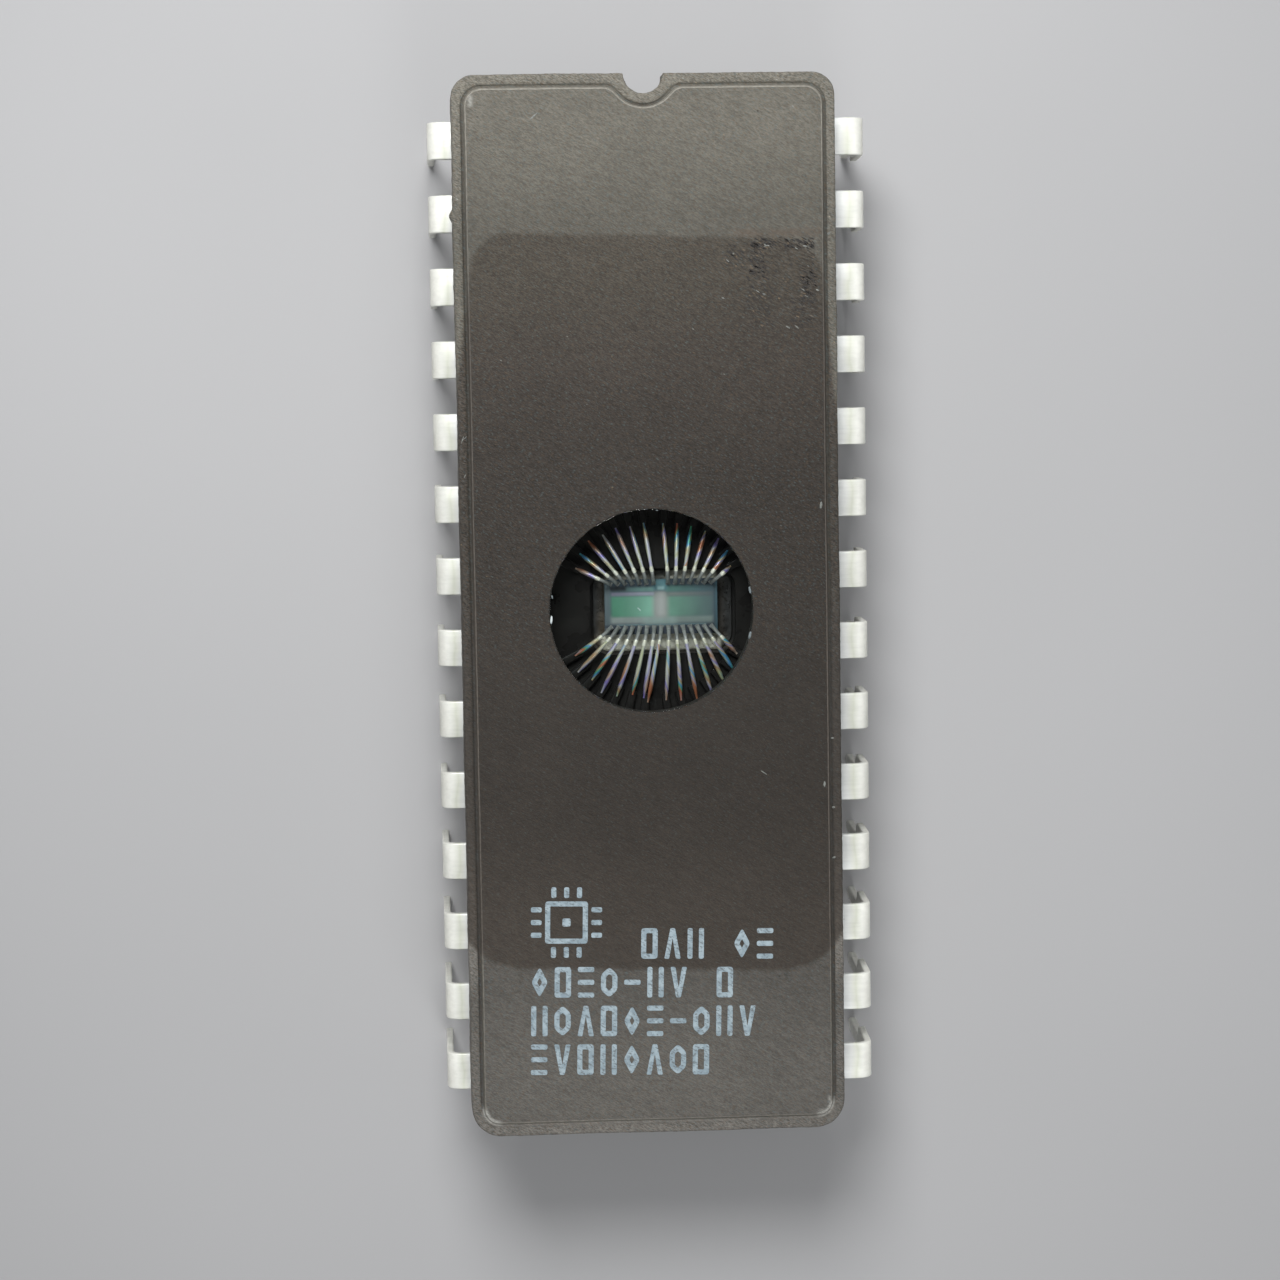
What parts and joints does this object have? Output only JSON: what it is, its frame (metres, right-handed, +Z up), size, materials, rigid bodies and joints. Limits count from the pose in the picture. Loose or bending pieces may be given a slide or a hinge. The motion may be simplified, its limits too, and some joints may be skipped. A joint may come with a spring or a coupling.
{
  "type": "windowed ceramic memory chip",
  "caption": "Ceramic dual in-line memory chip with a round glass window over the die, fanned bond wires and two rows of tinned through-hole leads.",
  "frame": {"origin": "centre of the plane that the lead tips stand on, midway between the two rows", "axes": "+Z up through the lid and its window, +Y along the body towards the notched lead 1 end, +X across the rows towards leads 15 to 28"},
  "size_m": [0.0156, 0.0372, 0.0084],
  "materials": {
    "lid_ceramic": "matte",
    "base_ceramic": "matte",
    "sealing_glass": "gloss",
    "window_glass": "polished",
    "silicon": "polished",
    "die_attach": "matte",
    "lead_tin": "satin",
    "bond_wire": "polished"
  },
  "bodies": {
    "root": {"ceramic_base": "base_ceramic", "sealing_glass": "sealing_glass", "ceramic_lid": "lid_ceramic", "window_glass": "window_glass", "silicon_die": "silicon", "die_attach": "die_attach", "lead_01": "lead_tin", "lead_02": "lead_tin", "lead_03": "lead_tin", "lead_04": "lead_tin", "lead_05": "lead_tin", "lead_06": "lead_tin", "lead_07": "lead_tin", "lead_08": "lead_tin", "lead_09": "lead_tin", "lead_10": "lead_tin", "lead_11": "lead_tin", "lead_12": "lead_tin", "lead_13": "lead_tin", "lead_14": "lead_tin", "lead_15": "lead_tin", "lead_16": "lead_tin", "lead_17": "lead_tin", "lead_18": "lead_tin", "lead_19": "lead_tin", "lead_20": "lead_tin", "lead_21": "lead_tin", "lead_22": "lead_tin", "lead_23": "lead_tin", "lead_24": "lead_tin", "lead_25": "lead_tin", "lead_26": "lead_tin", "lead_27": "lead_tin", "lead_28": "lead_tin", "bond_wires_01_07": "bond_wire", "bond_wires_08_14": "bond_wire", "bond_wires_15_21": "bond_wire", "bond_wires_22_28": "bond_wire"}
  },
  "joints": []
}
